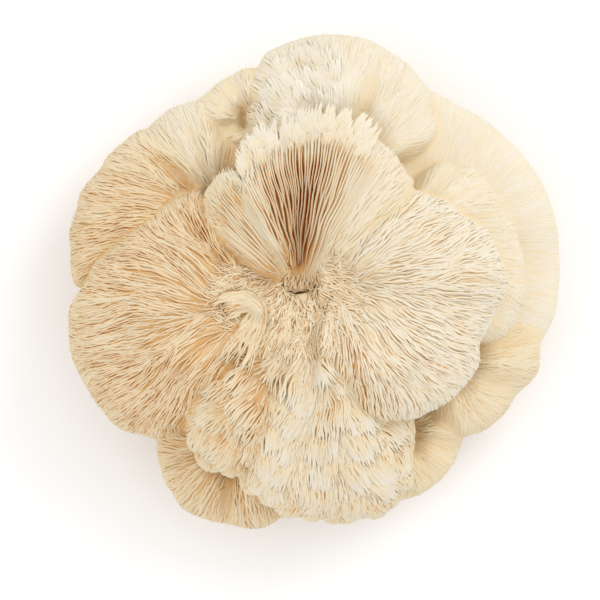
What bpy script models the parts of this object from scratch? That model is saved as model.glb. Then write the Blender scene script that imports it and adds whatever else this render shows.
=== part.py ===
"""Lion's mane mushroom, picked and resting on its flat cut base, face up.

One fruiting body: a short fleshy base that flares upwards, and overlapping
fans of flesh fused to it. Each fan has a hub, from which rows of teeth run
outwards as pleats and end in a toothed rim. All sizes are millimetres in the
table below and become metres when the meshes are made. +Z is up, away from
the cut; +Y is the side that grew uppermost.
"""

import math
from collections import namedtuple

import bmesh
import bpy

MM = 0.001

FLESH_COLOUR = (0.87, 0.78, 0.62, 1.0)
FLESH_ROUGHNESS = 0.8

# Base
CUT_RADIUS = 31.0
CUT_WOBBLE = 1.6
BASE_COLUMNS = 28
# (height, radius as a share of CUT_RADIUS), from the cut upwards
BASE_FLARE = ((0.0, 1.0), (3.0, 1.06), (14.0, 1.1), (28.0, 1.22), (42.0, 1.0))
BASE_TOP = 48.0

# Pleats, and the teeth that they end in at the rim
PLEAT_HEIGHT = 1.5
UNDER_PLEAT = 0.3
TOOTH_LENGTH = 3.6
TOOTH_INSET = 0.4
TOOTH_DROOP = 2.4
BACK_COLUMNS = 5

# Ledges, where one row of teeth ends over the next: a step down in the flesh
LEDGE_DROP = 2.6
LEDGE_RAGGED = 0.03
LEDGE_GAP = 0.015
LEDGE_CLEAR = 0.08

# The section of a fan, as shares of its radius, and how it changes round the fan
SHOULDER = 0.94
UNDERSIDE = 0.8
UNDERSIDE_DEPTH = 0.9
FOOT_DEPTH = 3.0
BACK_DROP = 8.0
SWELLS = ((1.3, 5), (0.9, 9))
RIM_SWELL = 0.6

# A fan: hub is (x, y); hub_z, crown_z and rim_z are heights over the cut;
# crown_at is where the crown lies, as a share of the way from hub to rim;
# half_rise is how much of the rise to it is done half way there; lip is how
# far the underside hangs below the rim; span is the showing part of
# the rim in degrees, counted from +X towards +Y; teeth is how many stand along
# it; ledges are shares of the way out where one row of teeth ends over the
# next; folds are valleys that run outwards, each (degrees, half its width in
# degrees, depth half way to the crown, depth at the crown); outline is
# (degrees, radius) round the hub.
Fan = namedtuple(
    "Fan",
    "name hub hub_z crown_z rim_z crown_at half_rise lip span teeth ledges folds outline",
)

FANS = (
    Fan("top_back", (6.5, 33.0), 34, 50, 33, 0.55, 0.72, 15, (36, 150), 18, (0.7,),
        ((68, 9, 1.5, 2.5),),
        ((0, 22), (30, 36), (44, 40), (60, 42), (80, 44), (99, 44.4),
         (118, 44.2), (131, 40), (142, 34), (165, 26), (270, 14))),
    Fan("top_left_small", (-19.5, 50.0), 27, 41, 29, 0.5, 0.72, 13, (60, 190), 7, (),
        (), ((0, 13), (60, 17), (92, 17.4), (113, 16.4), (141, 16.6), (164, 19),
             (190, 18), (270, 12))),
    Fan("left_back", (-27.4, 21.2), 30, 46, 28, 0.55, 0.72, 15, (88, 222), 20, (),
        ((140, 9, 2.5, 3.5), (112, 7, 1.5, 2.0)),
        ((0, 14), (80, 32), (102, 37), (118, 37.4), (131, 36.6), (138, 38.4),
         (157, 41.4), (174, 46), (190, 49), (204, 51.5), (216, 44), (245, 26),
         (300, 14))),
    Fan("right_back", (30.0, 9.0), 26, 40, 26, 0.55, 0.72, 14, (-72, 100), 25, (),
        (), ((0, 46.5), (12, 46.6), (30, 46.8), (50, 47.2), (68, 48.6), (86, 52),
             (100, 45), (130, 26), (180, 16), (240, 20), (284, 40), (300, 49),
             (316, 49), (335, 48.8), (350, 47.2))),
    Fan("right_low_back", (38.7, -24.9), 26, 43, 27, 0.5, 0.72, 14, (-118, 22), 13,
        (), (), ((0, 31.5), (20, 33), (60, 22), (120, 14), (180, 14), (242, 18),
                 (274, 23), (291, 24.2), (306, 25.4), (335, 26))),
    Fan("bottom_right", (26.4, -44.9), 22, 38, 24, 0.5, 0.72, 12, (-112, 2), 9, (),
        (), ((0, 21), (40, 16), (120, 12), (200, 13), (248, 20), (268, 22.8),
             (283, 22), (303, 21.1), (326, 20.6), (342, 20.4))),
    Fan("bottom_left", (-24.3, -49.5), 22, 38, 23, 0.5, 0.72, 12, (172, 322), 15, (),
        ((262, 10, 1.5, 2.5),),
        ((0, 16), (60, 12), (120, 14), (160, 22), (176, 25), (197, 25),
         (215, 25.4), (232, 26.4), (249, 25.6), (264, 25.6), (288, 27.8),
         (305, 27.6), (322, 22))),
    Fan("right_middle", (23.4, 15.1), 44, 57, 41, 0.6, 0.72, 12, (-45, 72), 15, (),
        (), ((0, 39.5), (13, 36.2), (36, 33.6), (51, 29), (69, 20), (100, 12),
             (180, 8), (260, 20), (300, 40), (320, 47.4), (332, 46.4), (345, 42.8))),
    Fan("left_fan", (-19.7, -6.5), 57, 64, 38, 0.5, 0.72, 17, (92, 252), 28, (),
        ((124, 8, 2.0, 2.0), (176, 9, 0.5, 1.0), (214, 9, 0.5, 1.0)),
        ((0, 9), (60, 11), (90, 14), (102, 21), (109, 31), (115, 39.4),
         (134, 40.8), (153, 45), (169, 50), (183, 55.6), (196, 57), (209, 56),
         (222, 55.4), (233, 51), (244, 43), (258, 30), (290, 14))),
    Fan("left_cheek", (-12.0, -22.0), 57, 65, 47, 0.55, 0.72, 11, (196, 268), 10,
        (0.5, 0.75), (),
        ((0, 12), (90, 10), (170, 16), (200, 27), (214, 33), (227, 38.6),
         (239, 40), (250, 38.6), (262, 33), (285, 24))),
    Fan("front_tufts", (0.5, -13.0), 59, 67, 32, 0.3, 0.72, 15, (228, 322), 17,
        (0.42, 0.6, 0.78), (),
        ((0, 15), (90, 8), (180, 12), (228, 38), (250, 55), (264, 58.6),
         (276, 59.8), (288, 61.2), (299, 57.2), (308, 47), (322, 34))),
    Fan("cup_side", (-5.0, -2.2), 50, 66, 53, 0.75, 0.8, 12, (110, 146), 6, (), (),
        ((0, 6), (80, 8), (95, 12), (105, 28), (115, 41), (124, 43.2),
         (132, 42), (140, 37), (150, 25), (168, 10), (270, 6))),
    Fan("cup", (-4.3, -1.8), 50, 68, 56, 0.8, 0.8, 14, (38, 124), 18, (),
        ((90, 25, 8.5, 1.0),),
        ((0, 12), (34, 34), (44, 48), (60, 51.2), (72, 53.6), (81, 53.4),
         (92, 50.6), (100, 48.6), (108, 46.4), (115, 43), (124, 37), (137, 20),
         (200, 10), (290, 9))),
    Fan("right_front", (6.5, -0.3), 60, 73, 53, 0.62, 0.72, 12, (-92, 52), 26, (),
        ((8, 8, 1.0, 1.0),),
        ((0, 52.3), (16, 49.6), (31, 43.8), (48, 38.6), (60, 28), (76, 19),
         (100, 10), (180, 7), (240, 14), (262, 32), (276, 39), (290, 44.4),
         (304, 47.8), (316, 49.6), (330, 50), (338, 47.4), (349, 49))),
    Fan("middle", (-5.5, -11.0), 59, 60.5, 55.5, 0.5, 0.5, 16, (0, 300), 8, (), (),
        ((0, 14), (50, 11), (90, 8.6), (130, 13), (170, 18), (200, 18),
         (240, 14), (290, 14), (330, 15))),
)


def smooth_ring(points, degrees):
    """Value at an angle of a closed ring of (degrees, value), eased between its points."""
    turn = degrees % 360.0
    for i, (start, first) in enumerate(points):
        end, last = points[(i + 1) % len(points)]
        if i == len(points) - 1:
            end += 360.0
        if start <= turn < end or start <= turn + 360.0 < end:
            share = ((turn - start) % 360.0) / (end - start)
            ease = share * share * (3.0 - 2.0 * share)
            return first + (last - first) * ease
    return points[0][1]


def wave(degrees, count, phase):
    return math.sin(math.radians(degrees) * count + phase)


def reach(fan, degrees):
    """How far the fan stands out at an angle: 0 behind its hub, 1 at its widest."""
    widest = max(radius for _, radius in fan.outline)
    share = smooth_ring(fan.outline, degrees) / widest
    return max(0.0, min(1.0, (share - 0.25) / 0.5))


def folded(fan, degrees):
    """How deep the fan's folds are at an angle: half way to the crown, and at the crown."""
    half_way, crown = 0.0, 0.0
    for middle, half_width, first, last in fan.folds:
        away = abs((degrees - middle + 180.0) % 360.0 - 180.0) / half_width
        share = 0.5 + 0.5 * math.cos(math.pi * min(1.0, away))
        half_way += first * share
        crown += last * share
    return half_way, crown


def profile(fan, degrees):
    """Top rows (share of the radius, height, is_ledge), the rim's height, underside rows."""
    out = reach(fan, degrees)
    swell = sum(size * wave(degrees, count, fan.hub[0]) for size, count in SWELLS)
    hub = fan.hub_z
    back = hub - BACK_DROP
    crown = hub + (fan.crown_z + swell - hub) * out
    rim = back + (fan.rim_z + RIM_SWELL * swell - back) * out
    fall = crown - rim
    at = fan.crown_at
    sunk_half_way, sunk_crown = folded(fan, degrees)
    half_way = hub + fan.half_rise * (crown - hub) - sunk_half_way
    rows = [(0.0, hub), (0.5 * at, half_way), (at, crown - sunk_crown)]
    if at < 0.7:
        rows.append((0.5 * (at + 0.9), crown - 0.2 * fall - 0.7 * sunk_crown))
    rows.append((SHOULDER, rim + 0.5 * fall))
    lip = fan.lip * (0.4 + 0.6 * out)
    under = [(UNDERSIDE, rim - UNDERSIDE_DEPTH * lip)]
    return with_ledges(rows, fan.ledges), rim, under


def with_ledges(rows, ledges):
    """(share, height, is_ledge) rows; each ledge has an upper and a lower edge."""
    made = []
    for share, height in rows[1:]:
        if all(abs(share - ledge) > LEDGE_CLEAR for ledge in ledges):
            made.append((share, height, False))
    for ledge in ledges:
        (first, low), (last, high) = [
            (a, b) for a, b in zip(rows, rows[1:]) if a[0] <= ledge <= b[0]
        ][0]
        level = low + (high - low) * (ledge - first) / (last - first)
        made.append((ledge, level + 0.4 * LEDGE_DROP, True))
        made.append((ledge + LEDGE_GAP, level - 0.6 * LEDGE_DROP, True))
    return sorted(made)


def columns(fan):
    """(degrees, side) of each column: side is 1 on a pleat, -1 between two, 0 behind the span."""
    start, end = fan.span
    count = 2 * fan.teeth
    step = (end - start) / count
    made = []
    for i in range(count + 1):
        drift = 0.3 * step * wave(i * 61.0, 1, fan.hub[1]) * (0 < i < count)
        made.append((start + i * step + drift, 1 if i % 2 else -1))
    gap = (360.0 - (end - start)) / (BACK_COLUMNS + 1)
    made += [(end + (i + 1) * gap, 0) for i in range(BACK_COLUMNS)]
    return made


def fan_mesh(fan):
    """The fan as one closed mesh: a hub point, rings of columns, and a point under the hub."""
    mesh = bmesh.new()
    rings = None
    for number, (degrees, side) in enumerate(columns(fan)):
        top, rim, under = profile(fan, degrees)
        radius = smooth_ring(fan.outline, degrees)
        ray = math.cos(math.radians(degrees)), math.sin(math.radians(degrees))
        uneven = 0.75 + 0.25 * wave(number * 47.0, 1, fan.hub[0])
        rows = []
        for share, height, is_ledge in top:
            ragged = LEDGE_RAGGED * side * uneven if is_ledge else 0.0
            lift = PLEAT_HEIGHT * min(0.5, share) * side * uneven
            rows.append((radius * (share + ragged), height + lift))
        tooth = 0.5 * TOOTH_LENGTH * (side * uneven - TOOTH_INSET) if side else 0.0
        rows.append((radius + tooth, rim - 0.5 * TOOTH_DROOP * side))
        for share, height in under:
            rows.append((radius * share, height - UNDER_PLEAT * PLEAT_HEIGHT * side))
        rings = rings or [[] for _ in rows]
        for ring, (out, height) in zip(rings, rows):
            place = fan.hub[0] + ray[0] * out, fan.hub[1] + ray[1] * out, height
            ring.append(mesh.verts.new([MM * value for value in place]))
    hub = mesh.verts.new((MM * fan.hub[0], MM * fan.hub[1], MM * fan.hub_z))
    low = min(fan.hub_z, fan.rim_z) - fan.lip - FOOT_DEPTH
    foot = mesh.verts.new((MM * fan.hub[0], MM * fan.hub[1], MM * low))
    skin(mesh, rings, hub, foot)
    return mesh


def skin(mesh, rings, first, last):
    """Faces between rings of vertices, and fans of triangles to the points at both ends."""
    count = len(rings[0])
    for i in range(count):
        j = (i + 1) % count
        mesh.faces.new((first, rings[0][i], rings[0][j]))
        mesh.faces.new((last, rings[-1][j], rings[-1][i]))
        for inner, outer in zip(rings, rings[1:]):
            mesh.faces.new((inner[i], outer[i], outer[j], inner[j]))


def base_mesh():
    """The fleshy base: a flat cut at the bottom, flaring up into the fans."""
    mesh = bmesh.new()
    rings = []
    for height, share in reversed(BASE_FLARE):
        ring = []
        for i in range(BASE_COLUMNS):
            degrees = 360.0 * i / BASE_COLUMNS
            wobble = CUT_WOBBLE * (wave(degrees, 3, 0.6) + 0.6 * wave(degrees, 7, 2.0))
            radius = CUT_RADIUS * share + wobble
            x = radius * math.cos(math.radians(degrees))
            y = radius * math.sin(math.radians(degrees))
            ring.append(mesh.verts.new((MM * x, MM * y, MM * height)))
        rings.append(ring)
    top = mesh.verts.new((0.0, 0.0, MM * BASE_TOP))
    cut = mesh.verts.new((0.0, 0.0, 0.0))
    skin(mesh, rings, top, cut)
    return mesh


def flesh_material():
    material = bpy.data.materials.new("flesh")
    material.use_nodes = True
    shader = material.node_tree.nodes["Principled BSDF"]
    shader.inputs["Base Color"].default_value = FLESH_COLOUR
    shader.inputs["Roughness"].default_value = FLESH_ROUGHNESS
    shader.inputs["Metallic"].default_value = 0.0
    return material


def new_object(name, mesh, material):
    bmesh.ops.triangulate(mesh, faces=mesh.faces[:])
    bmesh.ops.recalc_face_normals(mesh, faces=mesh.faces[:])
    data = bpy.data.meshes.new(name)
    mesh.to_mesh(data)
    mesh.free()
    data.materials.append(material)
    made = bpy.data.objects.new(name, data)
    bpy.context.scene.collection.objects.link(made)
    return made


def clear_scene():
    for old in list(bpy.data.objects):
        bpy.data.objects.remove(old, do_unlink=True)


def build():
    clear_scene()
    flesh = flesh_material()
    body = new_object("fruiting_body", base_mesh(), flesh)
    for fan in FANS:
        lobe = new_object("fan_" + fan.name, fan_mesh(fan), flesh)
        lobe.hide_render = True
        lobe.display_type = "WIRE"
        union = body.modifiers.new(fan.name, "BOOLEAN")
        union.operation = "UNION"
        union.solver = "EXACT"
        union.object = lobe


build()
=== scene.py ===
"""Looks of the lion's mane mushroom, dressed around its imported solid.

The flesh is one fine mesh of the same overlapping fans as the solid. Teeth grow on
it in rows, from each fan's hub out over the rim and down its side, and every tooth
is a thin roof-shaped strand that lies along the flesh. All sizes in the tables are
millimetres. +Z is up, away from the cut base; +Y is the side that grew uppermost.
"""

import math
from collections import namedtuple

import bmesh
import bpy
import numpy as np
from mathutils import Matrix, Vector
from mathutils.bvhtree import BVHTree
from mathutils.kdtree import KDTree


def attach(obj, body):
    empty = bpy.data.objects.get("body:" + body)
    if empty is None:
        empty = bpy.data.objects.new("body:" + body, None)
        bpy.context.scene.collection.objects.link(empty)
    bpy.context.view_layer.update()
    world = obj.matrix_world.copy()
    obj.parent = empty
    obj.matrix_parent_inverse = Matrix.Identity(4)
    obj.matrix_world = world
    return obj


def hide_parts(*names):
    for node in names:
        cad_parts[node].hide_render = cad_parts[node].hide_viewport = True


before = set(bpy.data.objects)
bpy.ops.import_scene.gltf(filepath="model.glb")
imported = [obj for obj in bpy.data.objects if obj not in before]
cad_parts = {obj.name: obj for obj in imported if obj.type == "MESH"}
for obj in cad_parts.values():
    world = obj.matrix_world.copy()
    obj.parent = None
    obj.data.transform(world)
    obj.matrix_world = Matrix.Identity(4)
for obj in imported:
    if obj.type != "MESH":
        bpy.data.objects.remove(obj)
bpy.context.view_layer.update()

MM = 0.001
SEED = 7

# The base and the fans of the solid, repeated so that both have the same form
CUT_RADIUS = 31.0
CUT_WOBBLE = 1.6
BASE_FLARE = ((0.0, 1.0), (3.0, 1.06), (14.0, 1.1), (28.0, 1.22), (42.0, 1.0))
BASE_TOP = 48.0
SHOULDER = 0.94
UNDERSIDE = 0.8
UNDERSIDE_DEPTH = 0.9
FOOT_DEPTH = 3.0
BACK_DROP = 8.0
SWELLS = ((1.3, 5), (0.9, 9))
RIM_SWELL = 0.6
# How far the flesh lies inside the solid, to leave room for the teeth on it
SKIN = 0.9

Fan = namedtuple(
    "Fan",
    "name hub hub_z crown_z rim_z crown_at half_rise lip folds outline",
)

FANS = (
    Fan("top_back", (6.5, 33.0), 34, 50, 33, 0.55, 0.72, 15, ((68, 9, 1.5, 2.5),),
        ((0, 22), (30, 36), (44, 40), (60, 42), (80, 44), (99, 44.4),
         (118, 44.2), (131, 40), (142, 34), (165, 26), (270, 14))),
    Fan("top_left_small", (-19.5, 50.0), 27, 41, 29, 0.5, 0.72, 13, (),
        ((0, 13), (60, 17), (92, 17.4), (113, 16.4), (141, 16.6), (164, 19),
         (190, 18), (270, 12))),
    Fan("left_back", (-27.4, 21.2), 30, 46, 28, 0.55, 0.72, 15,
        ((140, 9, 2.5, 3.5), (112, 7, 1.5, 2.0)),
        ((0, 14), (80, 32), (102, 37), (118, 37.4), (131, 36.6), (138, 38.4),
         (157, 41.4), (174, 46), (190, 49), (204, 51.5), (216, 44), (245, 26),
         (300, 14))),
    Fan("right_back", (30.0, 9.0), 26, 40, 26, 0.55, 0.72, 14, (),
        ((0, 46.5), (12, 46.6), (30, 46.8), (50, 47.2), (68, 48.6), (86, 52),
         (100, 45), (130, 26), (180, 16), (240, 20), (284, 40), (300, 49),
         (316, 49), (335, 48.8), (350, 47.2))),
    Fan("right_low_back", (38.7, -24.9), 26, 43, 27, 0.5, 0.72, 14, (),
        ((0, 31.5), (20, 33), (60, 22), (120, 14), (180, 14), (242, 18),
         (274, 23), (291, 24.2), (306, 25.4), (335, 26))),
    Fan("bottom_right", (26.4, -44.9), 22, 38, 24, 0.5, 0.72, 12, (),
        ((0, 21), (40, 16), (120, 12), (200, 13), (248, 20), (268, 22.8),
         (283, 22), (303, 21.1), (326, 20.6), (342, 20.4))),
    Fan("bottom_left", (-24.3, -49.5), 22, 38, 23, 0.5, 0.72, 12,
        ((262, 10, 1.5, 2.5),),
        ((0, 16), (60, 12), (120, 14), (160, 22), (176, 25), (197, 25),
         (215, 25.4), (232, 26.4), (249, 25.6), (264, 25.6), (288, 27.8),
         (305, 27.6), (322, 22))),
    Fan("right_middle", (23.4, 15.1), 44, 57, 41, 0.6, 0.72, 12, (),
        ((0, 39.5), (13, 36.2), (36, 33.6), (51, 29), (69, 20), (100, 12),
         (180, 8), (260, 20), (300, 40), (320, 47.4), (332, 46.4), (345, 42.8))),
    Fan("left_fan", (-19.7, -6.5), 57, 64, 38, 0.5, 0.72, 17,
        ((124, 8, 2.0, 2.0), (176, 9, 0.5, 1.0), (214, 9, 0.5, 1.0)),
        ((0, 9), (60, 11), (90, 14), (102, 21), (109, 31), (115, 39.4),
         (134, 40.8), (153, 45), (169, 50), (183, 55.6), (196, 57), (209, 56),
         (222, 55.4), (233, 51), (244, 43), (258, 30), (290, 14))),
    Fan("left_cheek", (-12.0, -22.0), 57, 65, 47, 0.55, 0.72, 11, (),
        ((0, 12), (90, 10), (170, 16), (200, 27), (214, 33), (227, 38.6),
         (239, 40), (250, 38.6), (262, 33), (285, 24))),
    Fan("front_tufts", (0.5, -13.0), 59, 67, 32, 0.3, 0.72, 15, (),
        ((0, 15), (90, 8), (180, 12), (228, 38), (250, 55), (264, 58.6),
         (276, 59.8), (288, 61.2), (299, 57.2), (308, 47), (322, 34))),
    Fan("cup_side", (-5.0, -2.2), 50, 66, 53, 0.75, 0.8, 12, (),
        ((0, 6), (80, 8), (95, 12), (105, 28), (115, 41), (124, 43.2),
         (132, 42), (140, 37), (150, 25), (168, 10), (270, 6))),
    Fan("cup", (-4.3, -1.8), 50, 68, 56, 0.8, 0.8, 14, ((90, 25, 8.5, 1.0),),
        ((0, 12), (34, 34), (44, 48), (60, 51.2), (72, 53.6), (81, 53.4),
         (92, 50.6), (100, 48.6), (108, 46.4), (115, 43), (124, 37), (137, 20),
         (200, 10), (290, 9))),
    Fan("right_front", (6.5, -0.3), 60, 73, 53, 0.62, 0.72, 12, ((8, 8, 1.0, 1.0),),
        ((0, 52.3), (16, 49.6), (31, 43.8), (48, 38.6), (60, 28), (76, 19),
         (100, 10), (180, 7), (240, 14), (262, 32), (276, 39), (290, 44.4),
         (304, 47.8), (316, 49.6), (330, 50), (338, 47.4), (349, 49))),
    Fan("middle", (-5.5, -11.0), 59, 60.5, 55.5, 0.5, 0.5, 16, (),
        ((0, 14), (50, 11), (90, 8.6), (130, 13), (170, 18), (200, 18),
         (240, 14), (290, 14), (330, 15))),
)

# How the teeth of a fan grow: pitch between teeth across; step from row to row;
# length, width and lift over the flesh; wander of the flow; clump, how wide a lock
# is; gather, how far its teeth draw together; stray, how far a tooth turns out of the
# flow (a share of its length); tuft, how far the teeth of a lock end together, as
# overlapping scales do (0 to 1); dome, how high the middle of a lock stands
Teeth = namedtuple(
    "Teeth", "pitch step length width lift wander clump gather stray tuft dome",
)

SMOOTH = Teeth(0.52, 4.5, 17.0, 0.9, 0.5, 1.5, 3.6, 0.25, 0.015, 0.0, 0.0)
TEETH = {
    "top_back": SMOOTH._replace(lift=0.3),
    "top_left_small": SMOOTH._replace(length=12.0, lift=0.35),
    "left_back": SMOOTH._replace(wander=1.8),
    "right_back": SMOOTH._replace(wander=1.2, lift=0.22),
    "right_low_back": SMOOTH._replace(wander=1.8, lift=0.35),
    "bottom_right": SMOOTH._replace(lift=0.35),
    "bottom_left": SMOOTH,
    "right_middle": SMOOTH._replace(wander=1.2, lift=0.3),
    "left_fan": SMOOTH._replace(length=19.0, wander=2.6, gather=0.32, clump=3.0),
    "left_cheek": SMOOTH._replace(length=9.0),
    "front_tufts": SMOOTH._replace(length=9.0),
    "cup": SMOOTH._replace(wander=0.7),
    "cup_side": SMOOTH._replace(wander=1.2, gather=0.32),
    "right_front": SMOOTH._replace(wander=2.1, gather=0.35, clump=3.6, lift=0.65),
    "middle": SMOOTH,
}

TUFTED = Teeth(0.26, 8.5, 13.5, 0.9, 0.4, 1.8, 8.0, 0.18, 0.01, 1.0, 1.5)
TUFTS = {
    "top_back": TUFTED._replace(step=7.0, length=10.0, dome=0.9, clump=6.0, tuft=0.8),
    "left_cheek": TUFTED._replace(step=7.5, clump=6.5, dome=1.3),
    "front_tufts": TUFTED,
    "cup": TUFTED._replace(step=3.0, length=8.0, dome=0.6, clump=4.5, tuft=0.6),
}
# Where a fan has locks, if not all over: from and to an angle, and from and to a
# share of the way to the rim
TUFT_SPANS = {"top_back": (88.0, 160.0, 0.1, 0.75), "cup": (62.0, 128.0, 0.72, 0.87)}
# Fans whose locks stand out past the rim in place of curling down over it
FRINGED = ("cup",)
FRINGE_FALL = 0.45
FRINGE_START = 9.0

# The open gills of the cup: from and to an angle, the turn from one to the next, how
# high they stand and how far they reach, as shares of the way to the rim; and where
# the ones between start, as the gills grow further apart
GILLS = {"cup": (56.0, 126.0, 1.25, 1.4, 0.06, 0.86),
         "cup_side": (112.0, 146.0, 1.5, 0.9, 0.08, 0.8)}
GILLS_BETWEEN = ((0.0, 0.02), (0.38, 0.52), (0.14, 0.26), (0.38, 0.52))
GILL_HALF_WIDTH = 0.48

# Colour of a fan: pale, that of its ridges (0 deep tan to 1 near white), partly the fan's
# own colour and partly painted light and shade, as most fans on the left and low down are set
# darker and those on the right and top paler, the way the light falls from the upper right;
# and then how dark the shade painted into the slits between the ridges is
Look = namedtuple("Look", "pale tone")
LOOKS = {
    "top_back": Look(0.88, 0.35),
    "top_left_small": Look(0.84, 0.4),
    "left_back": Look(0.66, 0.6),
    "right_back": Look(0.9, 0.2),
    "right_low_back": Look(0.74, 0.4),
    "bottom_right": Look(0.74, 0.45),
    "bottom_left": Look(0.62, 0.5),
    "right_middle": Look(0.84, 0.35),
    "left_fan": Look(0.64, 0.92),
    "left_cheek": Look(0.64, 0.75),
    "front_tufts": Look(0.82, 0.75),
    "cup": Look(0.82, 0.6),
    "cup_side": Look(0.72, 0.9),
    "right_front": Look(0.9, 0.85),
    "middle": Look(0.76, 0.95),
}

# Where a fan is darker, with deeper shade painted into its slits: (degrees, half its width,
# from and to, as shares of the way to the rim, how much). This is partly the flesh's own tan
# and partly painted shade, as in the hollow of the cup; where how much is below 0 the fan is
# paler, and on the top lobe behind the cup that is painted light against the cup's shade
SPOTS = {
    "cup": ((90.0, 42.0, -0.05, 0.86, 0.9), (114.0, 16.0, 0.0, 0.8, 0.3)),
    "cup_side": ((112.0, 20.0, -0.2, 0.8, 0.4),),
    "right_front": ((5.0, 50.0, 0.0, 0.6, 0.2), (282.0, 26.0, 0.1, 1.1, 0.4),
                    (312.0, 25.0, 0.3, 0.9, 0.3)),
    "left_fan": ((121.0, 9.0, 0.25, 0.8, 0.5), (225.0, 60.0, 0.2, 1.4, 0.15)),
    "left_back": ((140.0, 9.0, 0.1, 0.8, 0.5), (112.0, 7.0, 0.1, 0.8, 0.4),
                  (112.0, 40.0, -0.2, 1.4, -1.0), (190.0, 50.0, 0.2, 1.4, 0.3)),
    "top_left_small": ((120.0, 60.0, -0.2, 0.5, 0.7),),
    "top_back": ((68.0, 12.0, 0.1, 0.8, 0.4), (110.0, 70.0, -0.2, 0.8, -0.5)),
    "bottom_left": ((262.0, 10.0, 0.1, 0.7, 0.1),),
}

# The cut stem below the fans: how far out and how high it shows, and its look: its pale
# colour, then the painted shade as it lies under the fans, then how much shade is painted
# into its slits (flank and depth)
STEM_RADIUS = 40.0
STEM_HEIGHT = 20.0
STEM_LOOK = (0.8, 0.3, 0.3, 0.3)

GRID_STEP = 2.0
GRID_PITCH = 0.5
# How coarse the grid of shade is beside it, how far above the skin its rays start, and
# how far they reach
SHADE_TURNS = 3
SHADE_LENGTHS = 4
SHADE_CLEAR = 1.0
SHADE_REACH = 45.0
TOOTH_SEGMENTS = 8
TOOTH_WAVE = 0.22
TOOTH_WAVE_LENGTH = 7.0
GILL_SEGMENTS = 16
BODY_VOXEL = 1.2
# Teeth on the underside, this far past the rim and on, are fewer
SPARSE_FROM = 7.0
SPARSE_SHARE = 0.5
FLOW_RADIUS = 30.0
HUB_CLEAR = 4.0
LOCK_TURN = 0.28

# The rough short hair over the hubs: middle, half size, spacing, length and lift of
# its teeth; and the swirl in it: middle, and how far it reaches
PATCH_MIDDLE = (-8.0, -4.5)
PATCH_SIZE = (19.5, 14.5)
PATCH_SPACING = 0.72
PATCH_LENGTH = 8.0
PATCH_LIFT = 0.55
# Where its teeth run away from: straight down below the gills, and outward beside them
PATCH_SOURCE = (-4.3, 4.0)
PATCH_SOURCE_RISE = 9.0
PATCH_SOURCE_WIDTH = 5.0
BRIDGE_LIFT = 0.9
BRIDGE_PASSES = 8
WAVE_STEP = 1.3
WAVE_BEND = 0.22
CUP_HUB = (-4.3, -1.8)
GILLS_CLEAR = 6.5
GILLS_SECTOR = (52.0, 156.0)
SWIRL = (-19.0, -9.0)
SWIRL_REACH = 6.5

# The lock that curls over the hub of the left fan: its middle line, seen from above,
# how many teeth it has, and how wide it is at its ends and at its bend
CURL = ((-30.0, -8.6), (-25.5, -6.2), (-20.5, -5.4), (-17.2, -7.6), (-17.8, -11.6),
        (-20.2, -16.0), (-22.6, -20.6), (-25.4, -25.6))
CURL_TEETH = 150
CURL_WIDTH = (9.0, 4.6, 12.0)
CURL_LIFT = 1.4
CURL_CLEAR = 3.0


def ring_value(points, degrees):
    """Values at angles of a closed ring of (degrees, value), eased between its points."""
    angles = np.array([point[0] for point in points] + [points[0][0] + 360.0])
    values = np.array([point[1] for point in points] + [points[0][1]], float)
    turn = (degrees - angles[0]) % 360.0 + angles[0]
    i = np.clip(np.searchsorted(angles, turn, side="right") - 1, 0, len(points) - 1)
    share = (turn - angles[i]) / (angles[i + 1] - angles[i])
    ease = share * share * (3.0 - 2.0 * share)
    return values[i] + (values[i + 1] - values[i]) * ease


def wave(degrees, count, phase):
    return np.sin(np.radians(degrees) * count + phase)


def bump(degrees, middle, half_width):
    """1 at the middle angle, easing to 0 at half the width away."""
    away = np.abs((degrees - middle + 180.0) % 360.0 - 180.0) / half_width
    return 0.5 + 0.5 * np.cos(np.pi * np.minimum(1.0, away))


def folded(fan, degrees):
    """How deep the fan's folds are at each angle: half way to the crown, and at the crown."""
    half_way, crown = np.zeros_like(degrees), np.zeros_like(degrees)
    for middle, half_width, first, last in fan.folds:
        share = bump(degrees, middle, half_width)
        half_way += first * share
        crown += last * share
    return half_way, crown


def section(fan, degrees):
    """Guide points of the section at each angle: (angle, point, out and height)."""
    radius = ring_value(fan.outline, degrees)
    widest = max(value for _, value in fan.outline)
    out = np.clip((radius / widest - 0.25) / 0.5, 0.0, 1.0)
    radius = radius - SKIN
    swell = sum(size * wave(degrees, count, fan.hub[0]) for size, count in SWELLS)
    hub = np.full_like(radius, fan.hub_z)
    back = fan.hub_z - BACK_DROP
    crown = hub + (fan.crown_z - SKIN + swell - hub) * out
    rim = back + (fan.rim_z + RIM_SWELL * swell - back) * out
    fall = crown - rim
    lip = fan.lip * (0.4 + 0.6 * out)
    at = fan.crown_at
    low = min(fan.hub_z, fan.rim_z) - fan.lip - FOOT_DEPTH
    sunk_half_way, sunk_crown = folded(fan, degrees)
    half_way = hub + fan.half_rise * (crown - hub) - sunk_half_way
    guide = [(0.0, hub), (0.5 * at, half_way), (at, crown - sunk_crown)]
    if at < 0.7:
        guide.append((0.5 * (at + 0.9), crown - 0.2 * fall - 0.7 * sunk_crown))
    guide += [
        (SHOULDER, rim + 0.5 * fall),
        (1.0, rim),
        (UNDERSIDE, rim - UNDERSIDE_DEPTH * lip),
        (0.0, np.full_like(radius, low)),
    ]
    points = [np.stack([share * radius, height], 1) for share, height in guide]
    rim_at = len(guide) - 3
    return np.stack(points, 1), rim_at


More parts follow.
